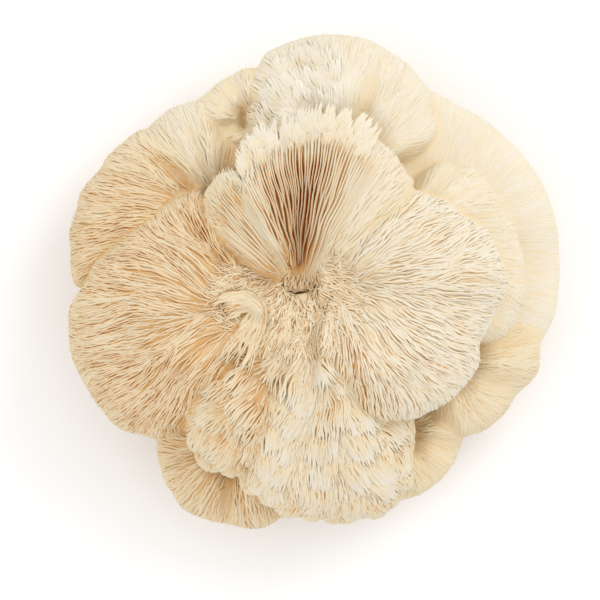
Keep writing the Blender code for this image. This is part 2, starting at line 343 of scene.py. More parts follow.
def smooth_path(guide, samples):
    """Catmull-Rom curves through the guide points: (angle, sample, 2)."""
    first = guide[:, 1:2] * (-1.0, 1.0)
    last = 2.0 * guide[:, -1:] - guide[:, -2:-1]
    points = np.concatenate([first, guide, last], 1)
    t = np.linspace(0.0, 1.0, samples, endpoint=False)[:, None]
    spans = []
    for i in range(guide.shape[1] - 1):
        a, b, c, d = (points[:, i + k, None, :] for k in range(4))
        spans.append(0.5 * (2.0 * b + (c - a) * t
                            + (2.0 * a - 5.0 * b + 4.0 * c - d) * t ** 2
                            + (3.0 * b - a - 3.0 * c + d) * t ** 3))
    return np.concatenate(spans + [guide[:, -1:]], 1)


def sky_rays():
    """Directions up to the sky: straight up, and two rings round it."""
    rays = [Vector((0.0, 0.0, 1.0))]
    for tilt, count in ((35.0, 5), (62.0, 6)):
        for i in range(count):
            turn = math.radians(360.0 * i / count + tilt)
            across, up = math.sin(math.radians(tilt)), math.cos(math.radians(tilt))
            rays.append(Vector((across * math.cos(turn), across * math.sin(turn), up)))
    return rays


SKY = sky_rays()


class Surface:
    """A fan's skin as a grid of angle and length along the skin from the hub."""

    def __init__(self, fan):
        self.fan = fan
        self.degrees = np.arange(0.0, 360.0, GRID_STEP)
        guide, rim_at = section(fan, self.degrees)
        samples = 24
        path = smooth_path(guide, samples)
        steps = np.linalg.norm(np.diff(path, axis=1), axis=2)
        length = np.concatenate([np.zeros((len(path), 1)), np.cumsum(steps, 1)], 1)
        self.rim = length[:, rim_at * samples]
        self.end = length[:, -1]
        count = int(self.end.max() / GRID_PITCH) + 1
        self.along = np.arange(count) * GRID_PITCH
        out = np.array([np.interp(self.along, l, p[:, 0]) for l, p in zip(length, path)])
        up = np.array([np.interp(self.along, l, p[:, 1]) for l, p in zip(length, path)])
        turn = np.radians(self.degrees)[:, None]
        self.out = np.maximum(out, 0.0)
        self.xyz = np.stack([fan.hub[0] + self.out * np.cos(turn),
                             fan.hub[1] + self.out * np.sin(turn), up], 2)
        ahead = np.gradient(self.xyz, axis=1)
        aside = np.roll(self.xyz, -1, 0) - np.roll(self.xyz, 1, 0)
        normal = np.cross(ahead, aside)
        size = np.linalg.norm(normal, axis=2, keepdims=True)
        normal = np.where(size > 1e-6, normal / np.maximum(size, 1e-6), (0.0, 0.0, 1.0))
        self.normal = normal

    def find_shade(self, tree):
        """Finds how much of the sky the flesh hides from the skin, 0 to 1, for the warm shade that
        the material paints there.
        """
        turns, lengths = slice(None, None, SHADE_TURNS), slice(None, None, SHADE_LENGTHS)
        place = self.xyz[turns, lengths] + self.normal[turns, lengths] * SHADE_CLEAR
        sky_shade = np.zeros(place.shape[:2])
        for index in np.ndindex(sky_shade.shape):
            start = Vector(place[index] * MM)
            hits = [tree.ray_cast(start, ray, SHADE_REACH * MM)[0] is not None for ray in SKY]
            sky_shade[index] = sum(hits) / len(SKY)
        wide = np.concatenate([sky_shade[-1:], sky_shade, sky_shade[:1]])
        sky_shade = 0.25 * wide[:-2] + 0.5 * sky_shade + 0.25 * wide[2:]
        degrees = np.append(self.degrees[turns], 360.0)
        sky_shade = np.concatenate([sky_shade, sky_shade[:1]])
        rows = np.array([np.interp(self.degrees, degrees, row) for row in sky_shade.T])
        along = self.along[lengths]
        self.shade = np.array([np.interp(self.along, along, row) for row in rows.T])

    def read(self, values, degrees, along):
        """Values of a grid at angles and lengths, between its nearest four points."""
        u = (degrees % 360.0) / GRID_STEP
        v = np.clip(along / GRID_PITCH, 0.0, values.shape[1] - 1.001)
        i, j = np.floor(u).astype(int), np.floor(v).astype(int)
        u, v = u - i, v - j
        i, k = i % len(values), (i + 1) % len(values)
        if values.ndim == 3:
            u, v = u[..., None], v[..., None]
        return ((values[i, j] * (1 - u) + values[k, j] * u) * (1 - v)
                + (values[i, j + 1] * (1 - u) + values[k, j + 1] * u) * v)

    def ring(self, values, degrees):
        """Values of a ring at angles."""
        return np.interp(degrees % 360.0, np.append(self.degrees, 360.0),
                         np.append(values, values[0]))


def closed_fan(surface):
    """The fan as a closed mesh for the union: rings about every 1.5 mm along the skin."""
    stride = 3
    fan = surface.fan
    count = max(8, int(surface.end.max() / (GRID_PITCH * stride)))
    mesh = bmesh.new()
    rings = []
    for share in np.linspace(0.0, 1.0, count + 1)[1:-1]:
        place = surface.read(surface.xyz, surface.degrees, share * surface.end)
        rings.append([mesh.verts.new(point * MM) for point in place])
    hub = mesh.verts.new((fan.hub[0] * MM, fan.hub[1] * MM, fan.hub_z * MM))
    low = min(fan.hub_z, fan.rim_z) - fan.lip - FOOT_DEPTH
    foot = mesh.verts.new((fan.hub[0] * MM, fan.hub[1] * MM, low * MM))
    skin(mesh, rings, hub, foot)
    return mesh


def closed_base():
    """The fleshy base: a flat cut at the bottom, flaring up into the fans."""
    columns = 120
    degrees = np.arange(columns) * 360.0 / columns
    wobble = CUT_WOBBLE * (wave(degrees, 3, 0.6) + 0.6 * wave(degrees, 7, 2.0))
    mesh = bmesh.new()
    rings = []
    for height, share in reversed(BASE_FLARE):
        radius = CUT_RADIUS * share + wobble
        x = radius * np.cos(np.radians(degrees))
        y = radius * np.sin(np.radians(degrees))
        rings.append([mesh.verts.new((a * MM, b * MM, height * MM)) for a, b in zip(x, y)])
    top = mesh.verts.new((0.0, 0.0, BASE_TOP * MM))
    cut = mesh.verts.new((0.0, 0.0, 0.0))
    skin(mesh, rings, top, cut)
    return mesh


def skin(mesh, rings, first, last):
    """Faces between rings of vertices, and fans of triangles to the points at both ends."""
    count = len(rings[0])
    for i in range(count):
        j = (i + 1) % count
        mesh.faces.new((first, rings[0][i], rings[0][j]))
        mesh.faces.new((last, rings[-1][j], rings[-1][i]))
        for inner, outer in zip(rings, rings[1:]):
            mesh.faces.new((inner[i], outer[i], outer[j], inner[j]))


def linked(name, data):
    made = bpy.data.objects.new(name, data)
    bpy.context.scene.collection.objects.link(made)
    return made


def flesh_body(surfaces, material):
    """The flesh as one closed mesh: the base and all fans, joined by a voxel remesh."""
    joined = bmesh.new()
    for part in [closed_base()] + [closed_fan(surface) for surface in surfaces]:
        bmesh.ops.recalc_face_normals(part, faces=part.faces[:])
        data = bpy.data.meshes.new("part")
        part.to_mesh(data)
        part.free()
        joined.from_mesh(data)
        bpy.data.meshes.remove(data)
    rough = bpy.data.meshes.new("rough")
    joined.to_mesh(rough)
    joined.free()
    holder = linked("rough", rough)
    remesh = holder.modifiers.new("join", "REMESH")
    remesh.mode = "VOXEL"
    remesh.voxel_size = BODY_VOXEL * MM
    remesh.use_smooth_shade = True
    graph = bpy.context.evaluated_depsgraph_get()
    data = bpy.data.meshes.new_from_object(holder.evaluated_get(graph))
    bpy.data.objects.remove(holder)
    bpy.data.meshes.remove(rough)
    data.name = "flesh_body"
    data.materials.clear()
    data.materials.append(material)
    return linked("flesh_body", data)


def ripple(x, y, seed):
    """Smooth, uneven waves between -1 and 1 over a plane with features about 1 wide."""
    a = np.sin(2.1 * x + 1.3 * np.sin(1.7 * y + seed) + 0.7 * seed)
    b = np.sin(3.3 * y - 1.9 * x + 1.1 * np.sin(2.3 * x + 2.0 * seed))
    c = np.sin(5.2 * x + 2.7 * y + 3.1 * seed)
    return 0.5 * a + 0.3 * b + 0.2 * c


def drifted(teeth, number, turn, along):
    """How far the flow has wandered sideways, mm, at a place round and along a fan."""
    wide = ripple(turn / 13.0, along / 22.0, number)
    narrow = ripple(turn / 4.5, along / 9.0, number + 5.0)
    return teeth.wander * (wide + 0.3 * narrow)


def between(values, low, high):
    return (values > low) & (values < high)


def rows_of_teeth(surface, teeth, rng):
    """Where each tooth of a fan starts and how it grows, one line a tooth."""
    found = []
    angles = np.arange(0.0, 360.1, GRID_STEP / 2)
    last = 0.92 * surface.end.max()
    for number, along in enumerate(np.arange(HUB_CLEAR, last, teeth.step)):
        out = surface.read(surface.out, angles, np.full(len(angles), along))
        arc = np.concatenate([[0.0], np.cumsum(out[1:] * math.radians(GRID_STEP / 2))])
        count = int(arc[-1] / teeth.pitch)
        if count < 3:
            continue
        place = np.arange(count) + 0.5 * (number % 2) + rng.uniform(-0.35, 0.35, count)
        place = place * arc[-1] / count
        degrees = np.interp(place, arc, angles)
        shift = rng.uniform(0.0, 1.0)
        lock = np.floor(place / teeth.clump + shift)
        side = place - (lock + 0.5 - shift) * teeth.clump
        across = 2.0 * side / teeth.clump
        loose = rng.uniform(-0.5, 0.5, count) * (1.0 - 0.8 * teeth.tuft)
        staggered = 0.5 * np.sin(lock * 78.2 + number * 37.7) * teeth.tuft
        round_end = -0.4 * teeth.tuft * teeth.clump * across ** 2 / teeth.step
        starts = along + (loose + staggered + round_end) * teeth.step
        rim = surface.ring(surface.rim, degrees)
        past = np.clip((starts - rim + 6.0) / 12.0, 0.0, 1.0)
        uneven = rng.uniform(0.75, 1.15, count)
        uneven += (1.0 - uneven) * 0.85 * teeth.tuft
        length = teeth.length * uneven * (1.0 - 0.35 * past)
        length *= np.clip(0.45 + out.mean() / 22.0, 0.45, 1.0)
        width = teeth.width * rng.uniform(0.8, 1.2, count)
        lift = teeth.lift * rng.uniform(0.5, 1.4, count)
        lift *= 1.0 - 0.5 * np.clip((starts - rim + 18.0) / 12.0, 0.0, 1.0)
        lift += teeth.dome * (1.0 - across ** 2) * (1.0 - past)
        inside = starts + 0.4 * length < surface.ring(surface.end, degrees) * 0.97
        inside &= starts > 2.0
        name = surface.fan.name
        if teeth.tuft and name not in FRINGED:
            inside &= starts < rim - 0.6 * length
        inside &= (starts < rim + SPARSE_FROM) | (rng.uniform(0.0, 1.0, count) < SPARSE_SHARE)
        if teeth.tuft and name in TUFT_SPANS:
            start, end, near, far = TUFT_SPANS[name]
            inside &= between(degrees, start, end) & between(starts / rim, near, far)
        if name in GILLS:
            start, end, _, _, _, far = GILLS[name]
            inside &= ~(between(degrees, start, end) & (starts < (far - 0.14) * rim))
        shade = rng.uniform(0.0, 1.0, count)
        turned = rng.uniform(-1.0, 1.0, count) * teeth.stray
        turned += np.sin(lock * 51.7 + number * 19.3) * teeth.tuft * LOCK_TURN
        columns = (degrees, starts, length, width, lift, shade, side, turned)
        found.append(np.stack(columns, 1)[inside])
    return np.concatenate(found)


def strand_paths(surface, teeth, rows, number):
    """Points and normals along each tooth, its half width, and its flow coordinates."""
    degrees, starts, length, width, lift, shade, side, turned = rows.T
    t = np.linspace(0.0, 1.0, TOOTH_SEGMENTS + 1)[None, :]
    along = starts[:, None] + length[:, None] * t
    out = np.maximum(surface.read(surface.out, degrees[:, None] + 0.0 * t, along), 3.0)
    turn = np.radians(degrees)[:, None] * FLOW_RADIUS
    drift = drifted(teeth, number, turn, along)
    drift -= side[:, None] * teeth.gather * t ** 1.4
    drift += (length * turned)[:, None] * t
    phase = 2.0 * np.pi * (along / TOOTH_WAVE_LENGTH + shade[:, None] * 7.0)
    drift += TOOTH_WAVE * np.sin(phase)
    degrees = degrees[:, None] + np.degrees(drift / out)
    rise = np.clip(t / 0.5, 0.0, 1.0)
    rise = rise * rise * (3.0 - 2.0 * rise)
    height = -0.5 + (0.5 + lift[:, None]) * rise - (0.3 + 0.3 * lift[:, None]) * t ** 4
    taper = 2.2 + 3.0 * teeth.tuft
    shape = np.minimum(1.0, 0.35 + 2.6 * t) * np.clip(1.12 - t ** taper, 0.1, 1.0)
    half = 0.5 * width[:, None] * shape
    turn = turn + 0.0 * t
    if teeth.tuft and surface.fan.name in FRINGED:
        edge = surface.ring(surface.rim, degrees) - FRINGE_START
        place, normal = raised(surface, degrees, np.minimum(along, edge), height)
        angle = np.radians(degrees)
        ahead = np.stack([np.cos(angle), np.sin(angle), -FRINGE_FALL + 0.0 * angle], 2)
        place = place + ahead * np.maximum(0.0, along - edge)[..., None]
        return (place, normal), half, turn, along, t + 0.0 * along
    return raised(surface, degrees, along, height), half, turn, along, t + 0.0 * along


def raised(surface, degrees, along, height):
    """Points at a height over a fan's skin, and the skin's normals there."""
    place = surface.read(surface.xyz, degrees, along)
    normal = surface.read(surface.normal, degrees, along)
    normal /= np.linalg.norm(normal, axis=2, keepdims=True)
    return place + normal * height[..., None], normal


def gill_paths(surface, teeth, number, rng):
    """The open gills of a fan: long ridges that stand up from the hollow's floor."""
    start, end, pitch, tall, near, far = GILLS[surface.fan.name]
    degrees = np.arange(start, end, pitch)
    count = len(degrees)
    degrees += rng.uniform(-0.2, 0.2, count) * pitch
    degrees = degrees[:, None]
    t = np.linspace(0.0, 1.0, GILL_SEGMENTS + 1)[None, :]
    rim = surface.ring(surface.rim, degrees[:, 0])[:, None]
    later = np.array([GILLS_BETWEEN[i % len(GILLS_BETWEEN)] for i in range(count)])
    near = near + rng.uniform(later[:, :1], later[:, 1:])
    far = far + rng.uniform(-0.12, 0.04, (count, 1))
    along = rim * (near + (far - near) * t)
    out = surface.read(surface.out, degrees + 0.0 * t, along)
    turn = np.radians(degrees) * FLOW_RADIUS
    wave_across = 0.6 * ripple(turn / 9.0, along / 10.0, number)
    wave_across = wave_across + 0.22 * ripple(turn / 1.1, along / 6.0, number + 3.0)
    open_share = bump(degrees, 0.5 * (start + end), 0.6 * (end - start))
    height = tall * (0.35 + 0.65 * open_share) * np.minimum(1.0, 4.0 * t)
    height = height * (1.0 - 0.6 * t ** 6)
    half = 0.42 * math.radians(len(GILLS_BETWEEN) * pitch) * np.maximum(out, 2.5)
    half = np.minimum(half, GILL_HALF_WIDTH) * np.minimum(1.0, 0.3 + 6.0 * t)
    half = half * np.clip(1.15 - t ** 5, 0.3, 1.0) * rng.uniform(0.75, 1.2, (count, 1))
    turned = degrees + np.degrees(wave_across / np.maximum(out, 6.0))
    placed = raised(surface, turned, along, height)
    return placed, half, turn + 0.0 * t, along, 0.8 + 0.0 * along


def look_at(surface, degrees, along):
    """The ridge colour, how deep the shade painted into the slits is, and the painted sky shade of
    a fan at angles and lengths.
    """
    name = surface.fan.name
    rim = surface.ring(surface.rim, degrees)
    # Near the rim the slits fade; on the underside past it shade is painted: darker ridges and
    # deeper slits
    near_rim = np.clip((along - rim + 16.0) / 12.0, 0.0, 1.0)
    under = np.clip((along - rim - 2.0) / 8.0, 0.0, 1.0)
    tone = LOOKS[name].tone * (1.0 - 0.92 * near_rim) + 0.3 * under
    pale = LOOKS[name].pale - 0.12 * under
    share = along / rim
    for middle, half_width, start, end, much in SPOTS.get(name, ()):
        inside = np.clip((share - start) / 0.2, 0.0, 1.0)
        inside = inside * np.clip((end - share) / 0.2, 0.0, 1.0)
        deeper = much * inside * bump(degrees, middle, half_width)
        tone = tone + deeper
        pale = pale - 0.12 * deeper
    return pale, tone, surface.read(surface.shade, degrees, along)


def strand_mesh(name, grown, material):
    """One mesh of all teeth: each is a roof of two rows of faces along its path."""
    data = bpy.data.meshes.new(name)
    corners, faces, flows, looks, cells = [], [], [], [], []
    first = 0
    for part in grown:
        place, normal, half = part["place"], part["normal"], part["half"][..., None]
        count, points = place.shape[:2]
        ahead = np.gradient(place, axis=1)
        side = np.cross(normal, ahead)
        side /= np.maximum(np.linalg.norm(side, axis=2, keepdims=True), 1e-9)
        down = normal * part["deep"] * half
        edge_a, edge_b = place + side * half - down, place - side * half - down
        corners.append(np.stack([edge_a, place, edge_b], 2).reshape(-1, 3) * MM)
        start = first + (np.arange(count) * points * 3)[:, None, None]
        step = (np.arange(points - 1) * 3)[None, :, None]
        left = start + step + np.array([1, 4, 3, 0])
        right = start + step + np.array([2, 5, 4, 1])
        faces.append(np.stack([left, right], 2).reshape(-1, 4))
        flow = np.stack([part["turn"], part["along"], part["fan"] + 0.0 * part["turn"]], 2)
        flows.append(np.repeat(flow.reshape(-1, 3), 3, 0))
        look = np.empty((count, points, 3, 4))
        look[..., 0] = part["pale"][:, :, None]
        look[..., 1] = part["shade"][:, :, None]
        # The flank is 1 at both edges and 0 on the ridge: the material paints shade there, between
        # the teeth
        look[..., 2] = np.array([1.0, 0.0, 1.0])
        look[..., 3] = part["tone"][:, :, None]
        looks.append(look.reshape(-1, 4))
        cells.append((count, points))
        first += count * points * 3
    corners, faces = np.concatenate(corners), np.concatenate(faces)
    data.vertices.add(len(corners))
    data.vertices.foreach_set("co", corners.ravel().astype(np.float32))
    data.loops.add(len(faces) * 4)
    data.loops.foreach_set("vertex_index", faces.ravel().astype(np.int32))
    data.polygons.add(len(faces))
    data.polygons.foreach_set("loop_start", np.arange(len(faces), dtype=np.int32) * 4)
    data.update(calc_edges=True)
    data.polygons.foreach_set("use_smooth", np.ones(len(faces), bool))
    paint(data, np.concatenate(flows), np.concatenate(looks))
    bake_map(data, cells)
    data.materials.append(material)
    return linked(name, data)


def paint(data, flow, look):
    """Writes what the material reads: flow coordinates, and (pale, sky shade, flank, depth of slit
    shade), with shade painted where the sky is hidden and between the teeth.
    """
    layer = data.attributes.new("flow", "FLOAT_VECTOR", "POINT")
    layer.data.foreach_set("vector", np.ascontiguousarray(flow, np.float32).ravel())
    layer = data.color_attributes.new("look", "FLOAT_COLOR", "POINT")
    layer.data.foreach_set("color", np.ascontiguousarray(look, np.float32).ravel())


def bake_map(data, cells):
    """Gives every tooth a cell of its own on a UV map named OFBake."""
    columns = math.ceil(math.sqrt(sum(count for count, _ in cells)))
    inset = 0.08 / columns
    room = 1.0 / columns - 2.0 * inset
    across = np.array([1.0, 0.5, 0.0])
    places, done = [], 0
    for count, points in cells:
        cell = done + np.arange(count)
        low = np.stack([cell % columns, cell // columns], 1) / columns
        grid = np.empty((count, points, 3, 2))
        grid[..., 0] = low[:, 0, None, None] + inset + room * across
        up = room * np.linspace(0.0, 1.0, points)[None, :, None]
        grid[..., 1] = low[:, 1, None, None] + inset + up
        places.append(grid.reshape(-1, 2))
        done += count
    loops = np.empty(len(data.loops), np.int32)
    data.loops.foreach_get("vertex_index", loops)
    layer = data.uv_layers.new(name="OFBake")
    layer.data.foreach_set("uv", np.concatenate(places)[loops].ravel().astype(np.float32))


def grow(surface, teeth, number, tree, rng):
    """One set of teeth of a fan, without those inside the flesh."""
    rows = rows_of_teeth(surface, teeth, rng)
    (place, normal), half, turn, along, t = strand_paths(surface, teeth, rows, number)
    shade = rows[:, 5:6] - 0.5
    return kept(surface, number, tree, place, normal, half, turn, along, t, shade,
                0.7 + 0.1 * teeth.tuft, teeth.tuft)


def grow_gills(surface, teeth, number, tree, rng):
    (place, normal), half, turn, along, t = gill_paths(surface, teeth, number, rng)
    shade = rng.uniform(-0.5, 0.5, (len(place), 1))
    return kept(surface, number, tree, place, normal, half, turn, along, t, shade, 1.5)


def in_patch(x, y):
    """How far out a place is in the patch of rough hair: under 1 is inside it."""
    out = np.hypot((x - PATCH_MIDDLE[0]) / PATCH_SIZE[0],
                   (y - PATCH_MIDDLE[1]) / PATCH_SIZE[1])
    x, y = x - CUP_HUB[0], y - CUP_HUB[1]
    on_gills = between(np.degrees(np.arctan2(y, x)), *GILLS_SECTOR)
    return np.where(on_gills & (np.hypot(x, y) > GILLS_CLEAR), 2.0, out)


def grow_patch(tree, rng):
    """Rough short teeth over the hubs, grown step by step along the flesh."""
    steps = TOOTH_SEGMENTS
    place, normal, bridge = [], [], []
    for x in np.arange(-PATCH_SIZE[0], PATCH_SIZE[0], PATCH_SPACING):
        for y in np.arange(-PATCH_SIZE[1], PATCH_SIZE[1], PATCH_SPACING):
            spot = np.array(PATCH_MIDDLE) + (x, y) + rng.uniform(-0.5, 0.5, 2) * PATCH_SPACING
            rough, bend, size = rng.normal(0.0, 0.13), rng.normal(0.0, 0.08), rng.uniform(0.6, 1.2)
            on_curl = np.hypot(*(np.array(CURL) - spot).T).min() < CURL_CLEAR
            if in_patch(*spot) > 1.0 or on_curl:
                continue
            hit, face, _, _ = tree.ray_cast(Vector((*spot * MM, 0.2)), Vector((0, 0, -1)))
            beside = (spot[0] - PATCH_SOURCE[0]) / PATCH_SOURCE_WIDTH
            below = math.exp(-beside ** 2)
            away = spot - PATCH_SOURCE - (0.0, PATCH_SOURCE_RISE * below)
            heading = math.atan2(away[1], away[0])
            offset = spot - SWIRL
            share = math.exp(-(offset @ offset) / SWIRL_REACH ** 2)
            round_it = math.atan2(-offset[0], offset[1])
            turn_by = (round_it - heading + math.pi) % (2 * math.pi) - math.pi
            heading += share * turn_by + rough * (1.0 - share)
            points, faces = [], []
            wave_phase = rng.uniform(0.0, 2.0 * math.pi)
            for _ in range(steps + 1):
                points.append(np.array(hit) / MM)
                faces.append(np.array(face))
                ahead = Vector((math.cos(heading), math.sin(heading), 0.0))
                ahead = (ahead - ahead.dot(face) * face).normalized()
                hit, face, _, _ = tree.find_nearest(hit + ahead * PATCH_LENGTH * size / steps * MM)
                wave_phase += WAVE_STEP
                heading += bend - 0.25 * share + WAVE_BEND * math.cos(wave_phase)
            place.append(points)
            normal.append(faces)
            bridge.append(BRIDGE_LIFT * below * math.exp(-(spot[1] / 4.5) ** 2))
    place, normal = np.array(place), np.array(normal)
    height = place[..., 2]
    for _ in range(BRIDGE_PASSES):
        height[:, 1:-1] = np.maximum(height[:, 1:-1], 0.5 * (height[:, :-2] + height[:, 2:]))
    count = len(place)
    t = np.linspace(0.0, 1.0, steps + 1)[None, :] + np.zeros((count, 1))
    rise = np.clip(t / 0.5, 0.0, 1.0)
    rise = rise * rise * (3.0 - 2.0 * rise)
    lift = PATCH_LIFT * rng.uniform(0.4, 1.3, (count, 1)) + np.array(bridge)[:, None]
    height = -0.5 + (0.5 + lift) * rise - 0.5 * lift * t ** 3
    half = 0.37 * np.minimum(1.0, 0.35 + 2.6 * t) * np.clip(1.12 - t ** 2.2, 0.1, 1.0)
    return {"place": place + normal * height[..., None], "normal": normal, "half": half,
            "turn": rng.uniform(0.0, 200.0, (count, 1)) + 0.0 * t, "along": PATCH_LENGTH * t,
            # A fixed share of painted sky shade; the teeth are lighter or darker at random and
            # paler towards the tips, their roots partly painted shade
            "shade": 0.4 + 0.0 * t,
            "pale": LOOKS["middle"].pale + rng.uniform(-0.16, 0.16, (count, 1)) + 0.12 * t,
            "tone": LOOKS["middle"].tone + 0.0 * t, "fan": 20.0, "deep": 0.7}


def grow_curl(tree, rng):
    """The curling lock: long teeth side by side along one bent line."""
    line = np.array(CURL)
    guide = np.concatenate([2 * line[:1] - line[1:2], line, 2 * line[-1:] - line[-2:-1]])
    spans = len(line) - 1
    start = rng.uniform(0.0, 0.62, CURL_TEETH)
    end = np.minimum(1.0, start + rng.uniform(0.3, 0.5, CURL_TEETH))
    aside = rng.uniform(-0.5, 0.5, CURL_TEETH)
    t = np.linspace(0.0, 1.0, GILL_SEGMENTS + 1)
    share = start[:, None] + (end - start)[:, None] * t
    i = np.minimum((share * spans).astype(int), spans - 1)
    f = (share * spans - i)[..., None]
    a, b, c, d = guide[i], guide[i + 1], guide[i + 2], guide[i + 3]
    middle = 0.5 * (2.0 * b + (c - a) * f + (2.0 * a - 5.0 * b + 4.0 * c - d) * f ** 2
                    + (3.0 * b - a - 3.0 * c + d) * f ** 3)
    ahead = np.gradient(middle, axis=1)
    across = np.stack([-ahead[..., 1], ahead[..., 0]], 2)
    across /= np.linalg.norm(across, axis=2, keepdims=True)
    wide = np.interp(share, (0.0, 0.42, 1.0), CURL_WIDTH)
    phase = rng.uniform(0.0, 1.0, (CURL_TEETH, 1))
    wave_across = 0.35 * np.sin(2.0 * np.pi * (1.6 * t + phase))
    spot = middle + across * (aside[:, None] * wide + wave_across)[..., None]
    place, normal = np.empty(spot.shape[:2] + (3,)), np.empty(spot.shape[:2] + (3,))
    for index in np.ndindex(spot.shape[:2]):
        hit, face, _, _ = tree.ray_cast(Vector((*spot[index] * MM, 0.2)), Vector((0, 0, -1)))
        place[index], normal[index] = np.array(hit) / MM, np.array(face)
    height = CURL_LIFT * (1.0 - (2.0 * aside[:, None]) ** 2) * np.sin(np.pi * t) ** 0.5
    height = height + rng.uniform(0.9, 1.4, (CURL_TEETH, 1))
    half = 0.42 * np.minimum(1.0, 0.3 + 3.0 * t) * np.clip(1.1 - t ** 3, 0.1, 1.0)
    up = np.zeros_like(place)
    up[..., 2] = height
    count = len(place)
    flat = np.zeros((count, len(t)))
    return {"place": place + up, "normal": normal, "half": half + flat,
            "turn": rng.uniform(0.0, 200.0, (count, 1)) + flat, "along": 12.0 * t + flat,
            # A fixed share of painted sky shade; the teeth are lighter or darker at random and
            # paler towards the tips, their roots partly painted shade
            "shade": 0.3 + flat,
            "pale": 0.76 + rng.uniform(-0.1, 0.08, (count, 1)) + 0.12 * t + flat,
            "tone": 0.8 + flat, "fan": 21.0, "deep": 0.8}


def kept(surface, number, tree, place, normal, half, turn, along, t, shade, deep, tuft=0.0):
    """The teeth that show, with their colours."""
    shown = outside(tree, place[:, place.shape[1] // 2]) | outside(tree, place[:, -1])
    if place.shape[1] == TOOTH_SEGMENTS + 1:
        start = place[:, 1]
        shown &= (in_patch(start[:, 0], start[:, 1]) > 0.75) | (start[:, 2] < 48.0)
    degrees = np.degrees(turn / FLOW_RADIUS)
    pale, tone, sky_shade = look_at(surface, degrees, along)
    # Teeth are paler towards the tip and lighter or darker at random. The darker root is partly
    # their own tan and partly painted shade where it lies under the tips before it; the much
    # darker roots of locks are painted shade under the locks of the row before
    pale = pale + 0.12 * t + 0.1 * shade + tuft * (0.36 * t - 0.2)
    made = {"place": place, "normal": normal, "half": half, "turn": turn,
            "along": along, "shade": sky_shade, "pale": pale, "tone": tone}
    made = {key: value[shown] for key, value in made.items()}
    return {**made, "fan": number, "deep": deep}


def outside(tree, points):
    """Whether each point stands outside the flesh, or no more than a little inside it."""
    shown = np.empty(len(points), bool)
    for i, point in enumerate(points * MM):
        near, normal, _, _ = tree.find_nearest(Vector(point))
        shown[i] = (Vector(point) - near).dot(normal) > -0.35 * MM
    return shown


def ramp_node(nodes, stops):
    ramp = nodes.new("ShaderNodeValToRGB")
    ramp.color_ramp.interpolation = "EASE"
    while len(ramp.color_ramp.elements) < len(stops):
        ramp.color_ramp.elements.new(0.5)
    for element, (place, colour) in zip(ramp.color_ramp.elements, stops):
        element.position = place
        element.color = (*colour, 1.0)
    return ramp


def math_node(tree, operation, first, second=None, third=None, clamp=False):
    node = tree.nodes.new("ShaderNodeMath")
    node.operation = operation
    node.use_clamp = clamp
    for socket, value in zip(node.inputs, (first, second, third)):
        if value is None:
            continue
        if isinstance(value, (int, float)):
            socket.default_value = value
        else:
            tree.links.new(value, socket)
    return node.outputs[0]


def srgb(red, green, blue):
    """Linear colour of 8-bit screen values."""
    values = np.array((red, green, blue)) / 255.0
    low, high = values / 12.92, ((values + 0.055) / 1.055) ** 2.4
    return tuple(float(v) for v in np.where(values <= 0.04045, low, high))


# The ramp runs from the deepest tan to near white; its darker end is reached mostly where shade is
# painted into the slits, under the rims and in the cup's hollow
DEEP = srgb(145, 70, 22)
TAN = srgb(202, 160, 108)
CREAM = srgb(222, 207, 178)
PALE = srgb(226, 220, 207)
LIGHT = srgb(246, 238, 222)
# What the flesh is tinted with where little of the sky reaches it, and how much
SHADE_TINT = (1.06, 0.98, 0.8, 1.0)
SHADE_SHARE = 0.6
# How much of the same warm painted shade goes on the flanks of the teeth, between them
FLANK_SHADE_SHARE = 0.6
# The part of the ramp that runs from deep to pale; the rest is for what lies in shade
RAMP_SCALE = 0.84


def new_material(name):
    material = bpy.data.materials.new(name)
    material.use_nodes = True
    shader = material.node_tree.nodes["Principled BSDF"]
    shader.inputs["Roughness"].default_value = 0.85
    shader.inputs["Specular IOR Level"].default_value = 0.1
    return material, material.node_tree, shader


